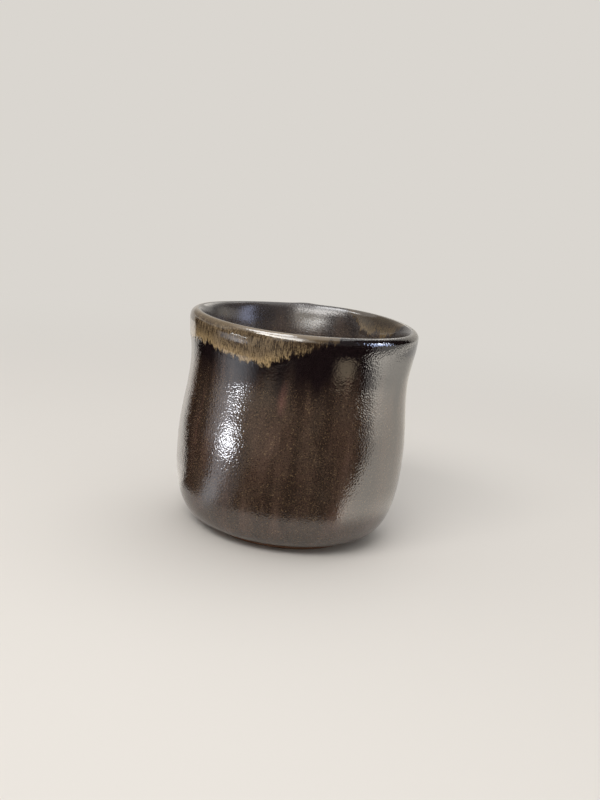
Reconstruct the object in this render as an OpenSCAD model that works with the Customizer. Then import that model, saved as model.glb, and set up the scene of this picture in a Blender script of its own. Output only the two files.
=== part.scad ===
// Hand-thrown stoneware coffee cup without a handle.
// A fired clay body carries fused glaze coats: one outside, one inside, and two runs of ash glaze at the rim.
// Millimetres, +Z up. The origin is the middle of the foot, on the surface that the cup stands on.

/* [Form] */
// Height from the table to the top of the lip
cup_h = 82; // [74:0.5:96]
// Outside diameter of the flared rim
rim_d = 86.6; // [82:0.2:94]
// Outside diameter of the waist under the rim
waist_d = 83.2; // [78:0.2:86]
// Height of the waist above the table
waist_z = 62; // [54:0.5:66]
// Outside diameter of the belly
belly_d = 87.2; // [82:0.2:96]
// Height of the belly above the table
belly_z = 34; // [26:0.5:44]
// Diameter where the belly has turned under, above the foot
base_d = 61; // [56:0.5:66]
// Squareness of the turn from the belly to the base, 2 is an ellipse
belly_fullness = 2.5; // [2:0.1:3.2]

/* [Wall] */
// Width of the round lip
lip_w = 4.7; // [3.6:0.1:6]
// Thickness of the glazed wall at the waist and the belly
wall = 5.6; // [4:0.1:7.5]
// Height of the glazed floor inside the cup above the table
floor_z = 9; // [7:0.25:14]
// Diameter of the flat part of the floor inside
floor_d = 44; // [36:0.5:50]

/* [Foot] */
// Distance that the foot ring stands in from the turned-under belly
foot_inset = 2; // [1:0.1:4]
// Height of the foot ring below the glaze line
foot_h = 2.8; // [2:0.1:5]
// Width of the foot ring where it meets the table
foot_ring_w = 5; // [3:0.1:8]
// Depth of the trimmed hollow inside the foot ring
foot_hollow = 1.8; // [1:0.1:2.5]
// Bevel on both edges of the foot ring
foot_bevel = 0.6; // [0.2:0.1:1]

/* [Glaze] */
// Thickness of the dark glaze inside and outside
coat_t = 0.5; // [0.3:0.05:0.9]
// Thickness of the ash glaze that lies on the dark glaze
ash_t = 0.3; // [0.15:0.05:0.6]
// Direction of the middle of the outside ash run, from +X towards +Y
ash_azimuth = 215; // [0:1:360]
// Half of the angle that the outside ash run covers
ash_half_angle = 76; // [40:1:85]
// Depth of the outside ash run below the lip
ash_depth = 11.5; // [6:0.5:18]
// Direction of the middle of the inside ash run, from +X towards +Y
inner_ash_azimuth = 40; // [0:1:360]
// Half of the angle that the inside ash run covers
inner_ash_half_angle = 30; // [15:1:60]
// Depth of the inside ash run below the lip
inner_ash_depth = 8; // [5:0.5:14]
// Longest drip below the edge of an ash run
drip_len = 3; // [1:0.25:5]
// Width of one drip, measured around the rim
drip_pitch = 5; // [3.5:0.25:9]
// How far up the round of the lip the ash glaze starts, where 90 is its crest
ash_lip_angle = 60; // [20:5:80]

/* [Hidden] */
$fn = 96;

rim_r = rim_d / 2;
waist_r = waist_d / 2;
belly_r = belly_d / 2;
base_r = base_d / 2;
floor_r = floor_d / 2;
foot_r = base_r - foot_inset;
lip_r = lip_w / 2;
lip_z = cup_h - lip_r;

// Steps along each stretch of the turned outline
turn_steps = 14;
swell_steps = 9;
flare_steps = 7;
lip_steps = 6;
// Steps along the lower edge of an ash run, for each drip
drip_steps = 6;
// Part of the half angle at each end of an ash run over which its depth dies away
ash_fade = 0.5;
// Middle length of a drip and its spread, as parts of the longest one
drip_mean = 0.65;
drip_spread = 0.35;
// Turn of the wave that makes drips uneven, in degrees from one drip to the next
drip_turn = 67;
// Room for a cutter to pass beyond what it cuts
cut_room = 4;

// Glides from 0 to 1 with no slope at either end
function ease(t) = (1 - cos(180 * t)) / 2;

// Quarter of a superellipse, from straight under its middle out to its side
function turned_under(side_r, side_z, bottom_r, bottom_z) = [
    for (i = [0 : turn_steps])
        let (a = 90 * i / turn_steps, power = 2 / belly_fullness)
        [bottom_r + (side_r - bottom_r) * pow(sin(a), power),
         side_z - (side_z - bottom_z) * pow(cos(a), power)]
];

// Gentle stretch of wall between two radii, without its first point
function swelling(from_r, from_z, to_r, to_z, steps) = [
    for (i = [1 : steps])
        let (t = i / steps)
        [from_r + (to_r - from_r) * ease(t), from_z + (to_z - from_z) * t]
];

// Outer quarter of the round lip, without its first point
function lip_round() = [
    for (i = [1 : lip_steps])
        let (a = 90 * i / lip_steps)
        [rim_r - lip_r + lip_r * cos(a), lip_z + lip_r * sin(a)]
];

// Trumpet curve from an upright wall out to a level lip, without its first point
function flaring(from_r, from_z, to_r, to_z, steps) = [
    for (i = [1 : steps])
        let (a = 90 * i / steps)
        [to_r - (to_r - from_r) * cos(a), from_z + (to_z - from_z) * sin(a)]
];

function reversed(line) = [for (i = [len(line) - 1 : -1 : 0]) line[i]];

// The same line moved to its right-hand side, as seen when walking along it
function moved_right(line, d) = [
    for (i = [0 : len(line) - 1])
        let (along = line[min(i + 1, len(line) - 1)] - line[max(i - 1, 0)])
        line[i] + d * [along.y, -along.x] / norm(along)
];

// Glazed surface from the glaze line at the foot up to the crest of the lip
outside_line = concat(
    turned_under(belly_r, belly_z, base_r, foot_h),
    swelling(belly_r, belly_z, waist_r, waist_z, swell_steps),
    swelling(waist_r, waist_z, rim_r, lip_z, flare_steps),
    lip_round()
);

// Glazed surface from the middle of the floor up to the crest of the lip
inside_line = concat(
    [[0, floor_z]],
    turned_under(belly_r - wall, belly_z, floor_r, floor_z),
    swelling(belly_r - wall, belly_z, waist_r - wall, waist_z, swell_steps),
    flaring(waist_r - wall, waist_z, rim_r - lip_r, cup_h, flare_steps + lip_steps)
);

// Where the dark glaze meets the clay, and where the ash glaze ends in the open
clay_outside = moved_right(outside_line, -coat_t);
clay_inside = moved_right(inside_line, coat_t);
ash_outside = moved_right(outside_line, ash_t);
ash_inside = moved_right(inside_line, -ash_t);

// Section of the trimmed foot, from the glaze line round to the middle of the hollow
foot_line = [
    [base_r, foot_h + coat_t],
    [foot_r, foot_h + coat_t],
    [foot_r, foot_bevel],
    [foot_r - foot_bevel, 0],
    [foot_r - foot_ring_w + foot_bevel, 0],
    [foot_r - foot_ring_w, foot_bevel],
    [foot_r - foot_ring_w - foot_hollow, foot_hollow],
    [0, foot_hollow]
];

// Depth of an ash run at an angle from its middle, with its drips
function ash_edge(a, half_angle, depth) =
    let (
        room = (half_angle - abs(a)) / (half_angle * ash_fade),
        drips = rim_r * PI / 180 / drip_pitch,
        tongue = abs(sin(180 * a * drips)),
        uneven = drip_mean + drip_spread * sin(drip_turn * a * drips)
    )
    ease(min(room, 1)) * (depth + drip_len * tongue * uneven);

// Curtain with a dripping lower edge, which spreads from the axis in one direction
module ash_curtain(azimuth, half_angle, depth) {
    steps = ceil(2 * half_angle * PI / 180 * rim_r / drip_pitch) * drip_steps;
    lower_edge = [
        for (i = [0 : steps])
            let (a = half_angle * (2 * i / steps - 1))
            [rim_r * sin(a), cup_h - ash_edge(a, half_angle, depth)]
    ];
    top_z = cup_h + cut_room;
    corners = [
        [lower_edge[steps].x, top_z],
        [lower_edge[0].x, top_z]
    ];
    rotate([0, 0, azimuth])
        rotate([90, 0, 90])
            linear_extrude(rim_r + cut_room)
                polygon(concat(lower_edge, corners));
}

// Band of ash glaze all the way round, from the round of the lip down past its longest drip
module ash_band(face, back, depth) {
    lowest = cup_h - depth - drip_len - cut_room;
    highest = lip_z + lip_r * sin(ash_lip_angle);
    kept = [for (i = [0 : len(face) - 1]) if (back[i].y >= lowest && back[i].y <= highest) i];
    rotate_extrude()
        polygon(concat([for (i = kept) face[i]], reversed([for (i = kept) back[i]])));
}

// Thrown and trimmed stoneware, bare at the foot
module clay_body() {
    color("#5a4334")
        rotate_extrude()
            polygon(concat(reversed(foot_line), clay_outside, reversed(clay_inside)));
}

// Dark iron glaze on the outside, from the glaze line to the crest of the lip
module outer_glaze() {
    color("#2e241f")
        rotate_extrude()
            polygon(concat(outside_line, reversed(clay_outside)));
}

// Dark iron glaze on the inside, over the floor and up to the crest of the lip
module liner_glaze() {
    color("#3a302b")
        rotate_extrude()
            polygon(concat(inside_line, reversed(clay_inside)));
}

// Ash glaze that ran down the outside from the lip
module rim_ash_glaze() {
    color("#8c7a58")
        intersection() {
            ash_band(ash_outside, outside_line, ash_depth);
            ash_curtain(ash_azimuth, ash_half_angle, ash_depth);
        }
}

// Ash glaze that ran down the inside from the lip
module inner_ash_glaze() {
    color("#6f5d45")
        intersection() {
            ash_band(ash_inside, inside_line, inner_ash_depth);
            ash_curtain(inner_ash_azimuth, inner_ash_half_angle, inner_ash_depth);
        }
}

clay_body();
outer_glaze();
liner_glaze();
rim_ash_glaze();
inner_ash_glaze();
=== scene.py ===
import math

import bmesh
import bpy
from mathutils import Matrix, Vector, noise
from mathutils.geometry import interpolate_bezier


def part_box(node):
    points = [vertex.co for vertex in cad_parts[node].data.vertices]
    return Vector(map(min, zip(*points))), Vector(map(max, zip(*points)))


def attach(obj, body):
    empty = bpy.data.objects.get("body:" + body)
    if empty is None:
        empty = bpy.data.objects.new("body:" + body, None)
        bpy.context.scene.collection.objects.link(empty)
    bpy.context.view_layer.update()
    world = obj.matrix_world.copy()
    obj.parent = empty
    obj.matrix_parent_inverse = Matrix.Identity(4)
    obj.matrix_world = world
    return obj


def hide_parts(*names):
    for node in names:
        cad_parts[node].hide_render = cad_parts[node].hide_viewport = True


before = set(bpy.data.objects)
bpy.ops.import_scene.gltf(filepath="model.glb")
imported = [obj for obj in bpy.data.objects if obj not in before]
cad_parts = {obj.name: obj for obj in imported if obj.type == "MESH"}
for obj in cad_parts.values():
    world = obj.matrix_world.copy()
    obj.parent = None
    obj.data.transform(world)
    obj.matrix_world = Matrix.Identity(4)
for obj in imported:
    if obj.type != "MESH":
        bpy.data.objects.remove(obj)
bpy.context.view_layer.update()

mm = 0.001
print("cup: frame loaded")


def clamp(value):
    return min(1.0, max(0.0, value))


def easeBetween(value, start, end):
    part = clamp((value - start) / (end - start))
    return part * part * (3 - 2 * part)


def turnOf(co):
    return math.atan2(co.x, -co.y)    # 0 at the front, positive to the right


def turnApart(turn, other):
    return math.remainder(turn - other, 2 * math.pi)


# Sections of the turned solids, as (radius, height) corners, and how near counts as one place
closeBy = dict(plane=0.01 * mm, corner=0.03 * mm, coat=0.2 * mm, doubles=0.004 * mm, axis=0.001 * mm)


def sectionCorners(node):
    corners = []
    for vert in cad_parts[node].data.vertices:
        if abs(vert.co.y) < closeBy["plane"] and vert.co.x > -closeBy["plane"]:
            corner = Vector((vert.co.x, vert.co.z))
            if all((corner - other).length > closeBy["corner"] for other in corners):
                corners.append(corner)
    return corners


def apartFrom(corners, others):
    return [c for c in corners if min((c - other).length for other in others) > closeBy["coat"]]


clayCorners = sectionCorners("clay_body")
outerCorners = sectionCorners("outer_glaze")
linerCorners = sectionCorners("liner_glaze")
outsideSkin = sorted(apartFrom(outerCorners, clayCorners), key=lambda c: c.y)
insideSkin = sorted(apartFrom(linerCorners, clayCorners), key=lambda c: (-c.y, -c.x))
outsideClay = sorted((c for c in outerCorners if c not in outsideSkin), key=lambda c: -c.y)
insideClay = sorted((c for c in linerCorners if c not in insideSkin), key=lambda c: (c.y, c.x))
footClay = sorted(apartFrom(clayCorners, outerCorners + linerCorners), key=lambda c: (-c.x, -c.y))
insideSkin.append(Vector((0, insideSkin[-1].y)))    # both flat floors run on to the axis
footClay.append(Vector((0, footClay[-1].y)))
cupTop = outsideSkin[-1].y
rimRadius = max(c.x for c in outsideSkin if c.y > 0.8 * cupTop)    # widest place of the top fifth
print("cup: sections", len(outsideSkin), len(insideSkin), len(footClay))


# Smooth line through CAD corners, read off at a spacing that gets finer on the round of the lip
spacing = dict(wall=0.9 * mm, lip=0.16 * mm, lipHeight=4 * mm)


def smoothLine(corners):
    headings = []
    for i, here in enumerate(corners):
        before = here - corners[i - 1] if i else corners[1] - here
        after = corners[i + 1] - here if i + 1 < len(corners) else before
        heading = before.normalized() * after.length + after.normalized() * before.length
        headings.append(heading.normalized())
    line = []
    for i in range(len(corners) - 1):
        start, end = corners[i], corners[i + 1]
        reach = (end - start).length / 3
        onLip = min(start.y, end.y) > cupTop - spacing["lipHeight"]
        count = max(2, round(3 * reach / spacing["lip" if onLip else "wall"]) + 1)
        leave, arrive = start + headings[i] * reach, end - headings[i + 1] * reach
        line += [Vector(p[:2]) for p in interpolate_bezier(start, leave, arrive, end, count)[:-1]]
    return line + [corners[-1]]


skinLine = smoothLine(outsideSkin + insideSkin[1:])
crest = max(range(len(skinLine)), key=lambda i: skinLine[i].y)
outsideLine = skinLine[:crest + 1][::-1]    # crest of the lip down to the glaze line
insideLine = skinLine[crest:]               # crest of the lip down to the middle of the floor


# A fall is the way along the skin from the crest of the lip
def fallsAlong(line):
    falls = [0.0]
    for a, b in zip(line, line[1:]):
        falls.append(falls[-1] + (b - a).length)
    return falls


outsideFalls = fallsAlong(outsideLine)
insideFalls = fallsAlong(insideLine)


def pointOnSkin(line, falls, fall):
    i = next((k for k in range(1, len(falls)) if falls[k] >= fall), len(falls) - 1)
    part = (fall - falls[i - 1]) / (falls[i] - falls[i - 1])
    heading = (line[i] - line[i - 1]).normalized()
    return line[i - 1].lerp(line[i], part), heading


# Rings and rolls that are heavy in one place and faint in the next
unevenness = dict(mean=0.6, swing=0.8)


def unevenAt(place):
    return unevenness["mean"] + unevenness["swing"] * noise.noise(place)


# How far the thrown cup departs from a true turned form.
# Each lip wave is a height and the turn in degrees at which it peaks.
throwing = dict(
    oval=0.30 * mm,          # out of round at the rim
    ovalTurn=math.radians(10),
    threeLobe=0.12 * mm,
    lobeShift=0.7,
    rimLean=0.22 * mm,       # the rim sits a little to the right of the foot
    lipWaves=((0.79 * mm, 19), (0.25 * mm, -38), (0.28 * mm, 33)),
    nub=0.4 * mm,            # small high spot on the back of the lip
    nubTurn=math.radians(181),
    nubWidth=math.radians(6),
    ringPitch=7.5 * mm,      # soft throwing rings, one spiral up the wall
    ringDepth=0.03 * mm,
    ringDrift=11 * mm,       # they come and go over this height
    ringStart=3 * mm,
    ringEase=9 * mm,
    floorPitch=6.5 * mm,     # throwing spiral on the inside floor
    floorDepth=0.16 * mm,
    floorRadius=25 * mm,
    floorEase=8 * mm,
    floorAbove=6 * mm,       # between the underside and the inside floor
    axisEase=20 * mm,        # the swell dies out towards the axis
)


def lipLift(turn):
    waves = sum(size * math.cos((k + 1) * (turn - math.radians(peak)))
                for k, (size, peak) in enumerate(throwing["lipWaves"]))
    fromNub = turnApart(turn, throwing["nubTurn"]) / throwing["nubWidth"]
    return waves + throwing["nub"] * math.exp(-fromNub * fromNub)


def asThrown(co):
    turn = turnOf(co)
    radius = math.hypot(co.x, co.y)
    high = max(0.0, co.z / cupTop)
    swell = high * (throwing["oval"] * math.cos(2 * (turn - throwing["ovalTurn"]))
                    + throwing["threeLobe"] * math.cos(3 * turn + throwing["lobeShift"]))
    swell += high ** 3 * throwing["rimLean"] * math.sin(turn)
    rings = math.sin(2 * math.pi * co.z / throwing["ringPitch"] + turn)
    uneven = unevenAt((0.0, 0.0, co.z / throwing["ringDrift"]))
    onWall = clamp((co.z - throwing["ringStart"]) / throwing["ringEase"])
    swell += throwing["ringDepth"] * rings * uneven * onWall
    lift = high ** 4 * lipLift(turn)
    if co.z > throwing["floorAbove"]:
        onFloor = clamp((throwing["floorRadius"] - radius) / throwing["floorEase"])
        spiral = math.sin(2 * math.pi * radius / throwing["floorPitch"] - turn)
        lift += onFloor * throwing["floorDepth"] * spiral
    scale = 1.0
    if radius > closeBy["axis"]:
        scale = (radius + swell * min(1.0, radius / throwing["axisEase"])) / radius
    return Vector((co.x * scale, co.y * scale, co.z + lift))


# Where each run of ash glaze lies, from the angles and the depth of its CAD solid

def ashSpan(node):
    verts = [v.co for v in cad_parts[node].data.vertices]
    rough = turnOf(sum((Vector((v.x, v.y, 0)).normalized() for v in verts), Vector()))
    turns = [turnApart(turnOf(v), rough) for v in verts]
    first, last = min(turns), max(turns)
    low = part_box(node)[0]
    return dict(middle=rough + (first + last) / 2, half=(last - first) / 2, depth=cupTop - low.z)


rimAsh = dict(
    ashSpan("rim_ash_glaze"),
    fade=0.5,               # part of each side over which the run gets shallow
    heavy=((1.2 * mm, -24, 15), (-1.9 * mm, -56, 15)),    # deep and shallow places: depth, turn, width
    band=3.1 * mm,          # thin glaze along the lip, which goes on towards the ends of the run
    tongue=1.2 * mm,        # drips along the lower edge
    tongueWidth=3.6 * mm,
    hair=0.4 * mm,          # finer drips between them
    hairWidth=1.3 * mm,
    thick=0.28 * mm,
    spill=2.6 * mm,         # how far it goes over the lip to the other side
    seed=3.0,
)
innerAsh = dict(
    ashSpan("inner_ash_glaze"),
    fade=0.6,
    heavy=((0.8 * mm, 131, 10), (-2.2 * mm, 108, 11)),
    band=0.0,
    tongue=1.1 * mm,
    tongueWidth=4.5 * mm,
    hair=0.4 * mm,
    hairWidth=1.4 * mm,
    thick=0.22 * mm,
    spill=1.6 * mm,
    seed=17.0,
)
ashEdge = dict(
    drips=2.6 * mm,         # the solid's depth counts its drips, and the mean edge lies higher
    endLift=1.4 * mm,       # the edge climbs to the crest at both ends of the run
    gone=2 * mm,            # height over the crest at which no glaze is left
    bandFade=math.radians(11),     # the thin band fades out between these angles from each end
    bandEnd=math.radians(2),
)


def ashReach(run, turn):
    aside = abs(turnApart(turn, run["middle"])) / run["half"]
    return clamp((1 - aside) / run["fade"])


def ashDepth(run, turn):
    reach = ashReach(run, turn)
    spot = Vector((math.sin(turn), -math.cos(turn), 0)) * rimRadius
    tongues = run["tongue"] * noise.noise(spot / run["tongueWidth"] + Vector((0, 0, run["seed"])))
    hairs = run["hair"] * noise.noise(spot / run["hairWidth"] + Vector((0, 0, 2 * run["seed"])))
    heavy = 0.0
    for size, middle, width in run["heavy"]:
        heavy += size * math.exp(-(turnApart(turn, math.radians(middle)) / math.radians(width)) ** 2)
    aside = abs(turnApart(turn, run["middle"]))
    gone = easeBetween(aside, run["half"] - ashEdge["bandFade"], run["half"] - ashEdge["bandEnd"])
    band = run["band"] * (1 - gone) - ashEdge["gone"] * gone
    edge = run["depth"] - ashEdge["drips"] + heavy + tongues + hairs
    return max(band, reach * edge - (1 - reach) * ashEdge["endLift"])


# Single runs in the iron glaze: turn and half width in degrees, fall in mm where it starts and ends,
# and how far it goes to rust (over 0) or to dark (under 0)
ironRuns = (
    (-6.2, 1.7, 16, 31, 1.0),
    (4.0, 9.0, 50, 70, -0.7),
    (0.8, 2.2, 15, 28, -0.8),
    (8.0, 2.6, 12, 24, -0.7),
    (17.5, 3.6, 19, 43, -0.8),
    (-53.0, 2.0, 24, 52, 0.2),
    (-48.5, 1.4, 22, 60, -0.6),
    (-59.0, 3.4, 12, 62, -1.0),
    (46.0, 6.0, 14, 64, -0.6),
)
runEase = dict(start=4, end=6)    # in mm, over which a run comes and goes


def runTone(turn, fall):
    tone = 0.0
    for middle, width, start, end, strength in ironRuns:
        across = math.exp(-((math.degrees(turn) - middle) / width) ** 2)
        along = clamp((fall - start) / runEase["start"]) * clamp((end - fall) / runEase["end"])
        tone += strength * across * along
    return tone


# Mesh helpers

def addObject(name, bm, material):
    mesh = bpy.data.meshes.new(name)
    bm.to_mesh(mesh)
    bm.free()
    mesh.materials.append(material)
    made = bpy.data.objects.new(name, mesh)
    bpy.context.scene.collection.objects.link(made)
    return made


def finishPiece(name, bm, material, node):
    for face in bm.faces:
        face.smooth = True
    piece = addObject(name, bm, material)
    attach(piece, "root")
    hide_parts(node)
    print("cup:", name, len(piece.data.polygons), "faces")


def spinRound(bm, geom, angle, steps, merge):
    bmesh.ops.spin(bm, geom=geom, cent=(0, 0, 0), axis=(0, 0, 1), dvec=(0, 0, 0),
                   angle=angle, steps=steps, use_merge=merge)


def spunSection(points, falls, closed, steps):
    bm = bmesh.new()
    fallLayer = bm.verts.layers.float.new("fall")
    verts = []
    for point, fall in zip(points, falls):
        vert = bm.verts.new((point.x, 0, point.y))
        vert[fallLayer] = fall / mm
        verts.append(vert)
    pairs = list(zip(verts, verts[1:])) + ([(verts[-1], verts[0])] if closed else [])
    offAxis = [pair for pair in pairs if max(vert.co.x for vert in pair) > closeBy["plane"]]
    edges = [bm.edges.new(pair) for pair in offAxis]
    spinRound(bm, verts + edges, 2 * math.pi, steps, True)
    bmesh.ops.remove_doubles(bm, verts=bm.verts, dist=closeBy["doubles"])
    bmesh.ops.recalc_face_normals(bm, faces=bm.faces)
    return bm


# What the glazes read: fall from the crest, drop below the edge of the ash, its thickness and iron runs
def markAsh(bm, run, other):
    fallLayer = bm.verts.layers.float["fall"]
    dropLayer = bm.verts.layers.float.new("ashDrop")
    thickLayer = bm.verts.layers.float.new("ashThick")
    runLayer = bm.verts.layers.float.new("ironRun")
    for vert in bm.verts:
        turn = turnOf(vert.co)
        over = ashReach(other, turn)
        spill = other["spill"] * over - ashEdge["gone"] * (1 - over)
        vert[dropLayer] = vert[fallLayer] - max(ashDepth(run, turn), spill) / mm
        vert[thickLayer] = ashReach(run, turn)
        vert[runLayer] = runTone(turn, vert[fallLayer])


# Materials

def linear(hexColour, alpha=1.0):
    channels = [int(hexColour[i:i + 2], 16) / 255 for i in (1, 3, 5)]
    return [c / 12.92 if c <= 0.04045 else ((c + 0.055) / 1.055) ** 2.4 for c in channels] + [alpha]


# Adds a node with its settings. Values go to sockets by name, or as a tuple in the order of those in use.
# A node given as a value is linked by its first output in use.
def addNode(tree, kind, sockets=(), **settings):
    node = tree.nodes.new("ShaderNode" + kind)
    for name, value in settings.items():
        setattr(node, name, value)
    if isinstance(sockets, tuple):
        inUse = [i for i, socket in enumerate(node.inputs) if socket.enabled]
        sockets = dict(zip(inUse, sockets))
    for name, value in sockets.items():
        if isinstance(value, bpy.types.Node):
            value = next(output for output in value.outputs if output.enabled)
        if isinstance(value, bpy.types.NodeSocket):
            tree.links.new(value, node.inputs[name])
        else:
            node.inputs[name].default_value = value
    return node


def newMaterial(name):
    material = bpy.data.materials.new(name)
    material.use_nodes = True
    tree = material.node_tree
    return material, tree, tree.nodes["Principled BSDF"]


# Scale of a noise that is drawn out along the height
def drawnScale(width, length):
    return (1 / width, 1 / width, 1 / length)


# Iron-saturated stoneware glaze, dipped and fired to a dark, heavy glass.
# The eye sees brown-black with soft upright streaks, strong clear reflections and a fine orange-peel grain.
# The peel is drawn a little coarser than the real one, which is too fine for the picture.
ironGlaze = dict(
    black="#191213",
    dark="#2E231D",
    brown="#42332B",
    rust="#57443B",
    olive="#433830",
    run="#6A4B44",
    runMost=0.85,
    streakWidth=6 * mm,
    streakLength=55 * mm,
    streakStops=(0.34, 0.52, 0.72),    # where dark, brown and rust lie in the streaks
    cloud=15 * mm,
    cloudSpan=(0.42, 0.66),
    cloudMost=0.7,
    grain=0.45 * mm,
    grainSpan=(0.3, 0.7),
    grainDepth=(0.55, 1.45),
    gold="#8A7458",         # fine crystals, with their glints painted in as pale gold specks
    goldSize=0.5 * mm,
    goldSpan=(0.6, 0.76),
    goldMost=0.6,
    blackEnd=11.0,          # in mm below the lip, where the black under the rim starts to clear
    brownStart=27.0,
    blackRagged=22.0,       # in mm, how far streaks and slow drifts move that place
    blackDrift=18.0,
    drift=24 * mm,
    peel=0.62 * mm,
    peelHeight=0.1 * mm,
    roughness=0.045,
    ior=1.8,                # heavy iron glass, over the 1.5 of plain glass
    ashShadeLevel=1.0,           # how pale the ash glaze over it comes out; under 1 the ash is darkened as painted shade
    ashTips="#A8906A",
)
# The same glaze inside, greyer, with less black under the rim and more satin. Its ash is darkened as painted
# shade.
linerGlaze = dict(
    ironGlaze,
    black="#352E2C",
    dark="#3B322E",
    brown="#463B35",
    rust="#4D403A",
    olive="#453D38",
    blackEnd=2.0,
    brownStart=14.0,
    peelHeight=0.04 * mm,
    roughness=0.22,
    # the ash inside the cup and its tips are darkened as painted shade
    ashShadeLevel=0.34,
    ashTips="#7C684B",
)
# Wood-ash glaze poured over the rim. The eye sees tan glass that breaks into fine hairs as it runs,
# with pale tips at its lower edge and a smooth film on the lip.
ashGlaze = dict(
    lip="#86755D",
    body="#7D6B53",
    shade="#35291E",
    hairWidth=0.32 * mm,
    hairLength=2.6 * mm,
    tuftWidth=2.1 * mm,
    tuftLength=8 * mm,
    noiseSpan=(0.25, 0.75),
    hairFringe=0.8,         # in mm, how far hairs and tufts reach past the edge of the run
    tuftFringe=2.2,
    thinSpan=(0.0, 0.5),    # where the run gets thin, the fringe shortens to this part
    thinFringe=0.3,
    edgeSpan=(-0.6, 1.1),   # in mm inside the edge: from bare to covered
    tipSpan=(5.0, 1.2),     # in mm inside the edge: from body to pale tip
    lipSpan=(5.0, 1.5),     # in mm of fall: from body to lip
    speckle=0.5 * mm,
    hairSpan=(2.63, 3.3),   # sum of hairs, tufts and speckle between shade and full tone
    hairWeight=2.0,
    thickWeight=0.9,
    tipWeight=0.24,
    filmSpan=(3.6, 0.8),    # in mm of fall: the smooth film on the lip
    filmMost=0.75,
    filmThick=(0.0, 0.6),
    filmLeast=0.25,
    roughness=0.1,
    peelLeft=0.3,           # part of the orange peel that shows through
)


def ironColour(tree, place, fall, iron):
    # upright streaks and soft clouds
    streakScale = drawnScale(iron["streakWidth"], iron["streakLength"])
    streakPlace = addNode(tree, "Mapping", {"Vector": place, "Scale": streakScale})
    streaks = addNode(tree, "TexNoise", {"Vector": streakPlace, "Scale": 1.0, "Detail": 3.0})
    clouds = addNode(tree, "TexNoise", {"Vector": place, "Scale": 1 / iron["cloud"], "Detail": 4.0})
    streaked = addNode(tree, "ValToRGB", (streaks,))
    ramp = streaked.color_ramp
    darkStop, brownStop, rustStop = iron["streakStops"]
    ramp.elements[0].position, ramp.elements[0].color = darkStop, linear(iron["dark"])
    ramp.elements[1].position, ramp.elements[1].color = rustStop, linear(iron["rust"])
    ramp.elements.new(brownStop).color = linear(iron["brown"])
    cloudPart = addNode(tree, "MapRange", (clouds, *iron["cloudSpan"], 0.0, iron["cloudMost"]))
    clouded = addNode(tree, "Mix", (cloudPart, streaked, linear(iron["olive"])), data_type="RGBA")
    # single runs
    run = addNode(tree, "Attribute", attribute_name="ironRun").outputs["Fac"]
    rustPart = addNode(tree, "MapRange", (run, 0.0, 1.0, 0.0, iron["runMost"]))
    sootPart = addNode(tree, "MapRange", (run, 0.0, -1.0, 0.0, iron["runMost"]))
    rusted = addNode(tree, "Mix", (rustPart, clouded, linear(iron["run"])), data_type="RGBA")
    sooted = addNode(tree, "Mix", (sootPart, rusted, linear(iron["dark"])), data_type="RGBA")
    # black under the rim, clearing downwards along the streaks
    ragged, slow = iron["blackRagged"], iron["blackDrift"]
    drift = addNode(tree, "TexNoise", {"Vector": place, "Scale": 1 / iron["drift"], "Detail": 2.0})
    streakShift = addNode(tree, "Math", (streaks, ragged, -0.5 * ragged), operation="MULTIPLY_ADD")
    driftShift = addNode(tree, "Math", (drift, slow, -0.5 * slow), operation="MULTIPLY_ADD")
    bothShifts = addNode(tree, "Math", (streakShift, driftShift), operation="ADD")
    shifted = addNode(tree, "Math", (fall, bothShifts), operation="ADD")
    clearing = (shifted, iron["blackEnd"], iron["brownStart"])
    cleared = addNode(tree, "MapRange", clearing, interpolation_type="SMOOTHSTEP")
    toned = addNode(tree, "Mix", (cleared, linear(iron["black"]), sooted), data_type="RGBA")
    # grain, and gold crystals whose glints are painted in as pale specks
    grain = addNode(tree, "TexNoise", {"Vector": place, "Scale": 1 / iron["grain"], "Detail": 2.0})
    grainPart = addNode(tree, "MapRange", (grain, *iron["grainSpan"], *iron["grainDepth"]))
    grained = addNode(tree, "VectorMath", (toned, grainPart), operation="MULTIPLY")
    crystalGlints = addNode(tree, "TexNoise", {"Vector": place, "Scale": 1 / iron["goldSize"], "Detail": 1.0})
    goldPart = addNode(tree, "MapRange", (crystalGlints, *iron["goldSpan"], 0.0, iron["goldMost"]))
    goldHere = addNode(tree, "Math", (goldPart, cleared), operation="MULTIPLY")
    return addNode(tree, "Mix", (goldHere, grained, linear(iron["gold"])), data_type="RGBA")


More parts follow.
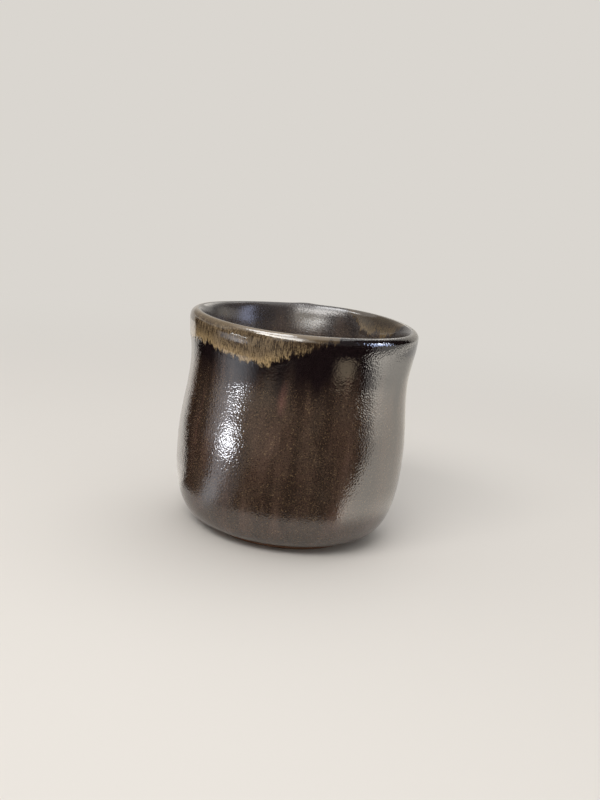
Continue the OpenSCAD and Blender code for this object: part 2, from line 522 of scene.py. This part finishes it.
# Colour of the ash glaze and how far it covers the iron glaze
def ashColour(tree, place, fall, iron):
    ash = ashGlaze
    drop = addNode(tree, "Attribute", attribute_name="ashDrop").outputs["Fac"]
    thick = addNode(tree, "Attribute", attribute_name="ashThick").outputs["Fac"]
    # hairs and tufts, which end in a fringe at the lower edge of the run
    hairScale = drawnScale(ash["hairWidth"], ash["hairLength"])
    tuftScale = drawnScale(ash["tuftWidth"], ash["tuftLength"])
    hairPlace = addNode(tree, "Mapping", {"Vector": place, "Scale": hairScale})
    tuftPlace = addNode(tree, "Mapping", {"Vector": place, "Scale": tuftScale})
    hairs = addNode(tree, "TexNoise", {"Vector": hairPlace, "Scale": 1.0, "Detail": 2.0})
    tufts = addNode(tree, "TexNoise", {"Vector": tuftPlace, "Scale": 1.0, "Detail": 2.0})
    hairFringe, tuftFringe = ash["hairFringe"], ash["tuftFringe"]
    hairReach = addNode(tree, "MapRange", (hairs, *ash["noiseSpan"], -hairFringe, hairFringe))
    tuftReach = addNode(tree, "MapRange", (tufts, *ash["noiseSpan"], -tuftFringe, tuftFringe))
    bothReach = addNode(tree, "Math", (hairReach, tuftReach), operation="ADD")
    fringe = addNode(tree, "MapRange", (thick, *ash["thinSpan"], ash["thinFringe"], 1.0))
    reach = addNode(tree, "Math", (bothReach, fringe), operation="MULTIPLY")
    inside = addNode(tree, "Math", (reach, drop), operation="SUBTRACT")
    cover = addNode(tree, "MapRange", (inside, *ash["edgeSpan"]), interpolation_type="SMOOTHSTEP")
    # body, lip and pale tips
    tipEdge = addNode(tree, "MapRange", (inside, *ash["tipSpan"]))
    tips = addNode(tree, "Math", (tipEdge, thick), operation="MULTIPLY")
    lipPart = addNode(tree, "MapRange", (fall, *ash["lipSpan"]))
    body = addNode(tree, "Mix", (lipPart, linear(ash["body"]), linear(ash["lip"])), data_type="RGBA")
    # the ash tone is scaled down here, which darkens the ash inside the cup as painted shade
    level = addNode(tree, "VectorMath", (body, iron["ashShadeLevel"]), operation="SCALE")
    tone = addNode(tree, "Mix", (tips, level, linear(iron["ashTips"])), data_type="RGBA")
    # shade between the hairs, apart from the smooth film on the lip
    speckle = addNode(tree, "TexNoise", {"Vector": place, "Scale": 1 / ash["speckle"], "Detail": 3.0})
    both = addNode(tree, "Math", (hairs, ash["hairWeight"], tufts), operation="MULTIPLY_ADD")
    three = addNode(tree, "Math", (both, speckle), operation="ADD")
    thinned = addNode(tree, "Math", (thick, ash["thickWeight"], three), operation="MULTIPLY_ADD")
    lit = addNode(tree, "Math", (tips, ash["tipWeight"], thinned), operation="MULTIPLY_ADD")
    hairPart = addNode(tree, "MapRange", (lit, *ash["hairSpan"]))
    filmSmooth = addNode(tree, "MapRange", (fall, *ash["filmSpan"], 0.0, ash["filmMost"]))
    filmThick = addNode(tree, "MapRange", (thick, *ash["filmThick"], ash["filmLeast"], 1.0))
    film = addNode(tree, "Math", (filmSmooth, filmThick), operation="MULTIPLY")
    tonePart = addNode(tree, "Math", (hairPart, film), operation="MAXIMUM")
    return addNode(tree, "Mix", (tonePart, linear(ash["shade"]), tone), data_type="RGBA"), cover


def glazeMaterial(name, iron):
    material, tree, shader = newMaterial(name)
    place = addNode(tree, "TexCoord").outputs["Object"]
    fall = addNode(tree, "Attribute", attribute_name="fall").outputs["Fac"]
    ash, cover = ashColour(tree, place, fall, iron)
    colour = addNode(tree, "Mix", (cover, ironColour(tree, place, fall, iron), ash), data_type="RGBA")
    rough = addNode(tree, "MapRange", (cover, 0.0, 1.0, iron["roughness"], ashGlaze["roughness"]))
    # orange peel
    peel = addNode(tree, "TexNoise", {"Vector": place, "Scale": 1 / iron["peel"], "Detail": 0.5})
    peelPart = addNode(tree, "MapRange", (cover, 0.0, 1.0, 1.0, ashGlaze["peelLeft"]))
    pitted = addNode(tree, "Math", (peel, peelPart), operation="MULTIPLY")
    bump = addNode(tree, "Bump", {"Height": pitted, "Strength": 1.0, "Distance": iron["peelHeight"]})
    tree.links.new(colour.outputs["Result"], shader.inputs["Base Color"])
    tree.links.new(rough.outputs["Result"], shader.inputs["Roughness"])
    tree.links.new(bump.outputs["Normal"], shader.inputs["Normal"])
    shader.inputs["IOR"].default_value = iron["ior"]
    return material


# Bare stoneware at the foot. The eye sees matt fired clay, toasted brown, with iron specks.
stoneware = dict(
    body="#8A6850",
    toast="#6B4630",
    speck="#3A2A20",
    grit=0.5 * mm,
    gritHeight=0.08 * mm,
    speckSpan=(0.64, 0.7),
    mottle=9 * mm,
    roughness=0.85,
)


def stonewareMaterial(name):
    material, tree, shader = newMaterial(name)
    place = addNode(tree, "TexCoord").outputs["Object"]
    mottle = addNode(tree, "TexNoise", {"Vector": place, "Scale": 1 / stoneware["mottle"], "Detail": 5.0})
    grit = addNode(tree, "TexNoise", {"Vector": place, "Scale": 1 / stoneware["grit"], "Detail": 3.0})
    body, toast = linear(stoneware["body"]), linear(stoneware["toast"])
    toasted = addNode(tree, "Mix", (mottle, body, toast), data_type="RGBA")
    specks = addNode(tree, "MapRange", (grit, *stoneware["speckSpan"]))
    colour = addNode(tree, "Mix", (specks, toasted, linear(stoneware["speck"])), data_type="RGBA")
    bump = addNode(tree, "Bump", {"Height": grit, "Distance": stoneware["gritHeight"]})
    tree.links.new(colour.outputs["Result"], shader.inputs["Base Color"])
    tree.links.new(bump.outputs["Normal"], shader.inputs["Normal"])
    shader.inputs["Roughness"].default_value = stoneware["roughness"]
    return material


outerGlazed = glazeMaterial("ironGlaze", ironGlaze)
innerGlazed = glazeMaterial("linerGlaze", linerGlaze)
bareClay = stonewareMaterial("bareStoneware")
print("cup: materials made")


# Pieces

def shapeAsThrown(bm):
    for vert in bm.verts:
        vert.co = asThrown(vert.co)


glazeSteps = 288    # faces round the cup
glazeRoll = dict(width=3.6, rise=0.32 * mm, lobe=11 * mm)    # roll above the foot, width in mm of fall


def outerGlazePiece():
    points = outsideLine + outsideClay[::-1]
    falls = outsideFalls + [outsideFalls[-1]] * len(outsideClay)
    bm = spunSection(points, falls, True, glazeSteps)
    markAsh(bm, rimAsh, innerAsh)
    bm.normal_update()
    fallLayer = bm.verts.layers.float["fall"]
    end = falls[-1] / mm
    for vert in bm.verts:
        up = (end - vert[fallLayer]) / glazeRoll["width"]
        if up < 1:    # glaze that ran down and gathered just above the foot
            heavy = unevenAt(Vector((vert.co.x, vert.co.y, 0)) / glazeRoll["lobe"])
            vert.co += vert.normal * glazeRoll["rise"] * heavy * math.sin(math.pi * up) ** 2
    shapeAsThrown(bm)
    finishPiece("outerGlaze", bm, outerGlazed, "outer_glaze")


def linerGlazePiece():
    points = insideLine + insideClay
    falls = insideFalls + [insideFalls[-1]] * len(insideClay)
    bm = spunSection(points, falls, True, glazeSteps)
    markAsh(bm, innerAsh, rimAsh)
    shapeAsThrown(bm)
    finishPiece("linerGlaze", bm, innerGlazed, "liner_glaze")


# The trimming tool left lines on the foot, which is the only part that needs a fine section
clayTrim = dict(
    steps=192,
    pitch=1.3 * mm,
    depth=0.05 * mm,
    margin=0.1 * mm,
    fineBelow=5 * mm,
    fine=0.35 * mm,
)


def claySection():
    points = []
    corners = insideClay + outsideClay + footClay
    for a, b in zip(corners, corners[1:]):
        count = 1
        if max(a.y, b.y) < clayTrim["fineBelow"]:
            count = max(1, round((b - a).length / clayTrim["fine"]))
        points += [a.lerp(b, k / count) for k in range(count)]
    return points + [corners[-1]]


def clayBodyPiece():
    points = claySection()
    bm = spunSection(points, [0.0] * len(points), False, clayTrim["steps"])
    footTop = footClay[0].y + clayTrim["margin"]
    for vert in bm.verts:
        if vert.co.z < footTop:
            radius = math.hypot(vert.co.x, vert.co.y)
            line = math.sin(2 * math.pi * radius / clayTrim["pitch"] + turnOf(vert.co))
            vert.co.z += clayTrim["depth"] * (1 + line) / 2
    shapeAsThrown(bm)
    finishPiece("clayBody", bm, bareClay, "clay_body")


ashMesh = dict(
    rows=44,
    column=0.35 * mm,
    top=0.4 * mm,           # fall at its upper edge
    past=2.5 * mm,          # it goes on past the edge of the run, sunk in the iron glaze
    least=1.2 * mm,
    full=6 * mm,            # depth at which it gets its full thickness
    sunk=0.05 * mm,
    topEase=0.35,           # part of its depth over which each edge thins out
    lowEase=0.3,
    endThick=0.15,          # part of the thickness left at the ends of the run
)


def ashPiece(name, run, other, line, falls, outward, glaze, node):
    rows, least, top, sunk = ashMesh["rows"], ashMesh["least"], ashMesh["top"], ashMesh["sunk"]
    columns = round(2 * run["half"] * rimRadius / ashMesh["column"])
    bm = bmesh.new()
    fallLayer = bm.verts.layers.float.new("fall")
    partLayer = bm.verts.layers.float.new("part")
    verts = []    # one upright row, swept round and then set on the skin
    for k in range(rows + 1):
        vert = bm.verts.new((0, -rimRadius, -k * mm))
        vert[partLayer] = k / rows
        verts.append(vert)
    edges = [bm.edges.new(pair) for pair in zip(verts, verts[1:])]
    toStart = Matrix.Rotation(run["middle"] - run["half"], 3, "Z")
    bmesh.ops.rotate(bm, verts=verts, cent=(0, 0, 0), matrix=toStart)
    spinRound(bm, verts + edges, 2 * run["half"], columns, False)
    for vert in bm.verts:
        part = vert[partLayer]
        turn = turnOf(vert.co)
        depth = max(least, ashDepth(run, turn) + ashMesh["past"])
        fall = top + part * (depth - top)
        point, heading = pointOnSkin(line, falls, fall)
        edge = easeBetween(part, 0, ashMesh["topEase"]) * easeBetween(1 - part, 0, ashMesh["lowEase"])
        ends = ashMesh["endThick"] + (1 - ashMesh["endThick"]) * ashReach(run, turn)
        thin = easeBetween(depth, least, ashMesh["full"]) * ends
        rise = -sunk + (run["thick"] + sunk) * edge * thin
        point = point + Vector((-heading.y, heading.x)) * rise * outward
        vert[fallLayer] = fall / mm
        vert.co = Vector((point.x * math.sin(turn), -point.x * math.cos(turn), point.y))
    markAsh(bm, run, other)
    shapeAsThrown(bm)
    bmesh.ops.recalc_face_normals(bm, faces=bm.faces)
    bmesh.ops.solidify(bm, geom=bm.faces[:], thickness=run["thick"])
    finishPiece(name, bm, glaze, node)


outerGlazePiece()
linerGlazePiece()
clayBodyPiece()
ashPiece("rimAsh", rimAsh, innerAsh, outsideLine, outsideFalls, 1,
         outerGlazed, "rim_ash_glaze")
ashPiece("innerAsh", innerAsh, rimAsh, insideLine, insideFalls, -1,
         innerGlazed, "inner_ash_glaze")


# Pale floor of matt paper, which runs into the same pale tone all round
paleFloor = dict(radius=6.0, inner=0.8, sides=96, colour="#DFDBD6", tone="#DAD6D0", evenSpan=(0.12, 0.5))


# 1 where the camera looks, straight or by way of gloss or glass
def seenRay(tree):
    path = addNode(tree, "LightPath").outputs
    direct = addNode(tree, "Math", (path["Is Camera Ray"], path["Is Glossy Ray"]), operation="MAXIMUM")
    return addNode(tree, "Math", (direct, path["Is Transmission Ray"]), operation="MAXIMUM")


def floorDisc():
    bm = bmesh.new()
    bmesh.ops.create_circle(bm, cap_ends=True, segments=paleFloor["sides"], radius=paleFloor["radius"])
    bmesh.ops.inset_region(bm, faces=bm.faces[:], thickness=paleFloor["radius"] * paleFloor["inner"])
    material, tree, shader = newMaterial("palePaper")
    shader.inputs["Base Color"].default_value = linear(paleFloor["colour"])
    shader.inputs["Roughness"].default_value = 1.0
    shader.inputs["Specular IOR Level"].default_value = 0.0
    place = addNode(tree, "TexCoord").outputs["Object"]
    away = addNode(tree, "VectorMath", (place,), operation="LENGTH")
    far = addNode(tree, "MapRange", (away, *paleFloor["evenSpan"]), interpolation_type="SMOOTHSTEP")
    part = addNode(tree, "Math", (far, seenRay(tree)), operation="MULTIPLY")
    even = addNode(tree, "Emission", {"Color": linear(paleFloor["tone"])})
    mix = addNode(tree, "MixShader", (part, shader, even))
    tree.links.new(mix.outputs["Shader"], tree.nodes["Material Output"].inputs["Surface"])
    floor = addObject("paleFloor", bm, material)


floorDisc()


# Softboxes and dark flags around the cup, which show only in its gloss.
# Each follows a line of (radius mm, height mm, turn degrees) and is swept round by an angle in degrees.
# Its glow goes from the first value to the second along the sweep, and it thins out towards the foot.
plainPanel = dict(
    glow=(0.0, 0.0),
    rise=0.0,       # more glow higher up, at the start of the sweep
    climb=0.0,      # in mm, how far the end of the sweep stands higher
    soft=0.0,       # part of the sweep over which both ends thin out
    panes=(),       # spots: glow, turn and half width in degrees, height and half height in mm
    colour="#FFFFFF",
)
panels = {
    "rightSoftbox": dict(
        line=((46, 0.7, 36), (62, 0.7, 41), (90, 0.7, 48), (90, 13, 55), (90, 22, 60), (90, 30, 65),
              (90, 36, 69), (90, 43, 67), (90, 49, 69), (90, 57, 58)),
        sweep=78, glow=(2.45, 0.84), rise=9.0, colour="#FFF8EC"),
    "rightTopSoftbox": dict(
        line=((91, 52, 55), (91, 57, 55)), sweep=79, climb=21, glow=(4.0, 0.8), colour="#FFF8EC"),
    "leftSoftbox": dict(
        line=((46, 0.7, -102), (70, 0.7, -103), (90, 0.7, -104), (90, 17, -106), (90, 29, -111),
              (90, 40, -112), (90, 46, -115), (90, 52, -116), (90, 58, -114), (90, 66, -114)),
        sweep=-50, glow=(1.75, 0.4), colour="#FFF9F0"),
    # three sheens, a halo and the bright pane
    "windowSoftbox": dict(
        line=((46, 0.8, -36), (150, 0.8, -38), (150, 64, -38)), sweep=-54, colour="#F6F8FF",
        panes=((1.0, -66, 14, 45, 35), (1.1, -61, 8.5, -5, 20), (0.3, -50, 14, -5, 25),
               (1.5, -57, 9.5, 30, 20), (24.0, -55.6, 6, 23.5, 9))),
    "neckSheen": dict(
        line=((56, 55.5, -66), (56, 65, -66)), sweep=44, soft=0.5, glow=(0.9, 1.4), colour="#F6F8FF"),
    "neckFlag": dict(line=((57, 56.5, -66), (57, 65, -66)), sweep=44),
    "underAshFlag": dict(line=((56, 65, -62), (56, 72, -62)), sweep=44, glow=(0.1, 0.1)),
    "paneSoftbox": dict(line=((75, 74, -40), (75, 75.8, -40)), sweep=-13, climb=3.4, glow=(9.0, 9.0)),
    "hazeSoftbox": dict(line=((170, 6, 0), (170, 88, 0)), sweep=-52, glow=(0.0, 0.45), colour="#FFF6E4"),
    "dimSoftbox": dict(
        line=((56, 60.5, 20), (56, 69.5, 20)), sweep=19, soft=0.4, glow=(1.3, 1.3), colour="#EAD4B4"),
    "skySoftbox": dict(line=((250, 90, 67), (250, 217, 69)), sweep=20, glow=(8.5, 8.5), colour="#C9D8FF"),
    "skyPane": dict(line=((245, 161, 76), (245, 215, 76)), sweep=12, glow=(18.0, 18.0), colour="#E8EEFF"),
    "blueSoftbox": dict(
        line=((90, 88, 74), (90, 112, 76), (90, 150, 87), (90, 230, 111)),
        sweep=37, soft=0.4, glow=(2.5, 2.5), rise=0.9, colour="#CDD7FA"),
    "endSoftbox": dict(line=((92, 76, 100), (92, 125, 100)), sweep=50, glow=(0.75, 0.75), colour="#FFF8EC"),
    "lipTopFlag": dict(line=((56, 101, 40), (56, 150, 40)), sweep=56, glow=(0.03, 0.03)),
    "lipEndFlag": dict(line=((56, 80.5, 61), (56, 110, 61)), sweep=29),
    "skyFlag": dict(line=((91, 113, 71), (91, 240, 71)), sweep=21),
    "lipSoftbox": dict(
        line=((56, 84.2, 0), (56, 99, 0)), sweep=-33, climb=14, glow=(7.0, 12.0), colour="#FFFDF8"),
    "frontSoftbox": dict(
        line=((300, 140, -27), (300, 300, -27)), sweep=45, soft=0.3, glow=(1.4, 1.75), colour="#FFF9EC"),
    "upperSoftbox": dict(line=((300, 470, -50), (300, 900, -50)), sweep=58, soft=0.25, glow=(6.0, 2.8)),
    "frontFlag": dict(line=((58, 0.6, -112), (76, 0.6, -116), (172, 0.6, -126), (172, 90, -126)), sweep=194),
    "rightFlag": dict(line=((300, 105, 13), (300, 600, 13)), sweep=84, glow=(0.1, 0.1)),
    "leftFlag": dict(line=((300, 100, -76), (300, 330, -76)), sweep=45),
    "backLeftFlag": dict(line=((300, 120, -174), (300, 420, -174)), sweep=100, soft=0.35, glow=(0.22, 0.22)),
    "backSoftbox": dict(
        line=((300, 150, 154), (300, 275, 154)), sweep=25, glow=(2.2, 2.2), colour="#FFFAF2"),
    "backFlag": dict(line=((300, 95, 112), (300, 205, 112)), sweep=36, glow=(0.2, 0.2)),
    "backTopFlag": dict(line=((300, 215, 78), (300, 700, 78)), sweep=62, soft=0.15, glow=(0.08, 0.08)),
}
panelMesh = dict(cuts=12, steps=48)
panelFade = dict(
    riseFrom=40,        # in mm of height
    riseOver=30,
    footHeight=5,       # under this height in mm a panel thins out between two radii
    footFrom=47,
    footTo=69,
    paneFull=1 / 3,     # part of a pane's own glow from which it hides what stands behind it
)


def flatBell(value, middle, width):
    return math.exp(-((value - middle) / width) ** 4)


def glowAt(box, co, part):
    turn, height = math.degrees(turnOf(co)), co.z / mm
    start, end = box["glow"]
    higher = max(0.0, height - panelFade["riseFrom"]) / panelFade["riseOver"]
    glow = start + (end - start) * part + box["rise"] * (1 - part) ** 2 * higher
    cover = 1.0
    if height < panelFade["footHeight"]:
        cover = easeBetween(math.hypot(co.x, co.y) / mm, panelFade["footFrom"], panelFade["footTo"])
    if box["soft"]:
        cover *= easeBetween(part, 0, box["soft"]) * easeBetween(1 - part, 0, box["soft"])
    if box["panes"]:
        shares = [flatBell(turn, middle, width) * flatBell(height, centre, tall)
                  for level, middle, width, centre, tall in box["panes"]]
        glow += sum(pane[0] * share for pane, share in zip(box["panes"], shares))
        cover *= clamp(max(shares) / panelFade["paneFull"])
    return glow, cover


def glowPanel(name, bm, colour):
    material, tree, shader = newMaterial(name)
    tree.nodes.remove(shader)
    glow = addNode(tree, "Attribute", attribute_name="glow").outputs["Fac"]
    cover = addNode(tree, "Attribute", attribute_name="cover").outputs["Fac"]
    light = addNode(tree, "Emission", {"Color": linear(colour), "Strength": glow})
    clear = addNode(tree, "BsdfTransparent")
    mix = addNode(tree, "MixShader", (cover, clear, light))
    tree.links.new(mix.outputs["Shader"], tree.nodes["Material Output"].inputs["Surface"])
    panel = addObject(name, bm, material)
    panel.visible_camera = False
    panel.visible_diffuse = False
    panel.visible_shadow = False
    panel.visible_transmission = False


def sweptPanel(name, box):
    bm = bmesh.new()
    verts = []
    for radius, height, turn in box["line"]:
        turn = math.radians(turn)
        place = Vector((radius * math.sin(turn), -radius * math.cos(turn), height)) * mm
        verts.append(bm.verts.new(place))
    edges = [bm.edges.new(pair) for pair in zip(verts, verts[1:])]
    bmesh.ops.subdivide_edges(bm, edges=edges, cuts=panelMesh["cuts"])
    sweep = math.radians(box["sweep"])
    spinRound(bm, bm.verts[:] + bm.edges[:], sweep, panelMesh["steps"], False)
    glowLayer = bm.verts.layers.float.new("glow")
    coverLayer = bm.verts.layers.float.new("cover")
    turns = [turn for radius, height, turn in box["line"]]
    first = math.radians(min(turns) if sweep > 0 else max(turns))
    for vert in bm.verts:
        part = clamp((turnOf(vert.co) - first) / sweep)
        vert[glowLayer], vert[coverLayer] = glowAt(box, vert.co, part)
        vert.co.z += box["climb"] * mm * part
    glowPanel(name, bm, box["colour"])


for name, box in panels.items():
    sweptPanel(name, dict(plainPanel, **box))


# Panels overhead: x and y of two corners and the height, in metres
overheads = {
    "overheadSoftbox": dict(low=(-0.26, -0.08), high=(0.12, 0.42), height=0.42, glow=0.9),
    "crestSoftbox": dict(low=(-0.2, -0.1), high=(-0.035, 0.06), height=0.4, glow=8.0),
}


def overheadPanel(name, panel):
    bm = bmesh.new()
    bmesh.ops.create_grid(bm, x_segments=1, y_segments=1, size=0.5)
    (left, front), (right, back) = panel["low"], panel["high"]
    middle = ((left + right) / 2, (front + back) / 2, panel["height"])
    bmesh.ops.scale(bm, vec=(right - left, back - front, 1), verts=bm.verts)
    bmesh.ops.translate(bm, vec=middle, verts=bm.verts)
    glowLayer = bm.verts.layers.float.new("glow")
    coverLayer = bm.verts.layers.float.new("cover")
    for vert in bm.verts:
        vert[glowLayer], vert[coverLayer] = panel["glow"], 1.0
    glowPanel(name, bm, plainPanel["colour"])


for name, panel in overheads.items():
    overheadPanel(name, panel)
print("cup: stage set")


# Lamps, each at a turn and rise in degrees and a distance in metres from the cup's middle
lamps = {
    "frontLamp": dict(turn=-24, rise=42, distance=1.0, size=(0.7, 0.34), watts=5.4, colour="#FFFCF8"),
    "topLamp": dict(turn=150, rise=66, distance=1.2, size=(0.9, 0.9), watts=3.0, colour="#FFFFFF"),
}


def areaLamp(name, settings):
    lamp = bpy.data.lights.new(name, "AREA")
    lamp.shape = "RECTANGLE"
    lamp.size, lamp.size_y = settings["size"]
    lamp.energy = settings["watts"]
    lamp.color = linear(settings["colour"])[:3]
    holder = bpy.data.objects.new(name, lamp)
    bpy.context.scene.collection.objects.link(holder)
    turn, rise = math.radians(settings["turn"]), math.radians(settings["rise"])
    away = Vector((math.sin(turn) * math.cos(rise), -math.cos(turn) * math.cos(rise), math.sin(rise)))
    holder.location = Vector((0, 0, cupTop / 2)) + away * settings["distance"]
    holder.rotation_euler = away.to_track_quat("Z", "Y").to_euler()


for name, settings in lamps.items():
    areaLamp(name, settings)


# Even studio light, which the camera and the gloss see as the floor's pale tone
studio = dict(light="#F8F7F5", level=0.6)
world = bpy.data.worlds.new("studio")
bpy.context.scene.world = world
world.use_nodes = True
worldTree = world.node_tree
evenLight = worldTree.nodes["Background"]
evenLight.inputs["Color"].default_value = linear(studio["light"])
evenLight.inputs["Strength"].default_value = studio["level"]
paleTone = addNode(worldTree, "Background", {"Color": linear(paleFloor["tone"])})
worldMix = addNode(worldTree, "MixShader", (seenRay(worldTree), evenLight, paleTone))
worldTree.links.new(worldMix.outputs["Shader"], worldTree.nodes["World Output"].inputs["Surface"])


# Camera at the photograph's angle, turned a little so that the cup leans in the picture
shot = dict(
    lens=52,
    nearest=0.01,
    distance=444.7 * mm,
    rise=math.radians(13.19),
    lean=math.radians(6.73),
    aimHeight=42.4 * mm,
    aimRight=2.58 * mm,
    aimUp=7.39 * mm,
)
cameraData = bpy.data.cameras.new("photoCamera")
cameraData.lens = shot["lens"]
cameraData.clip_start = shot["nearest"]
camera = bpy.data.objects.new("photoCamera", cameraData)
bpy.context.scene.collection.objects.link(camera)
away = Vector((0, -math.cos(shot["rise"]), math.sin(shot["rise"])))
turned = away.to_track_quat("Z", "Y").to_matrix() @ Matrix.Rotation(shot["lean"], 3, "Z")
aim = Vector((0, 0, shot["aimHeight"])) + turned @ Vector((shot["aimRight"], shot["aimUp"], 0))
camera.matrix_world = Matrix.Translation(aim + away * shot["distance"]) @ turned.to_4x4()
bpy.context.scene.camera = camera
bpy.context.scene.view_settings.view_transform = "Standard"

print("cup: scene ready")
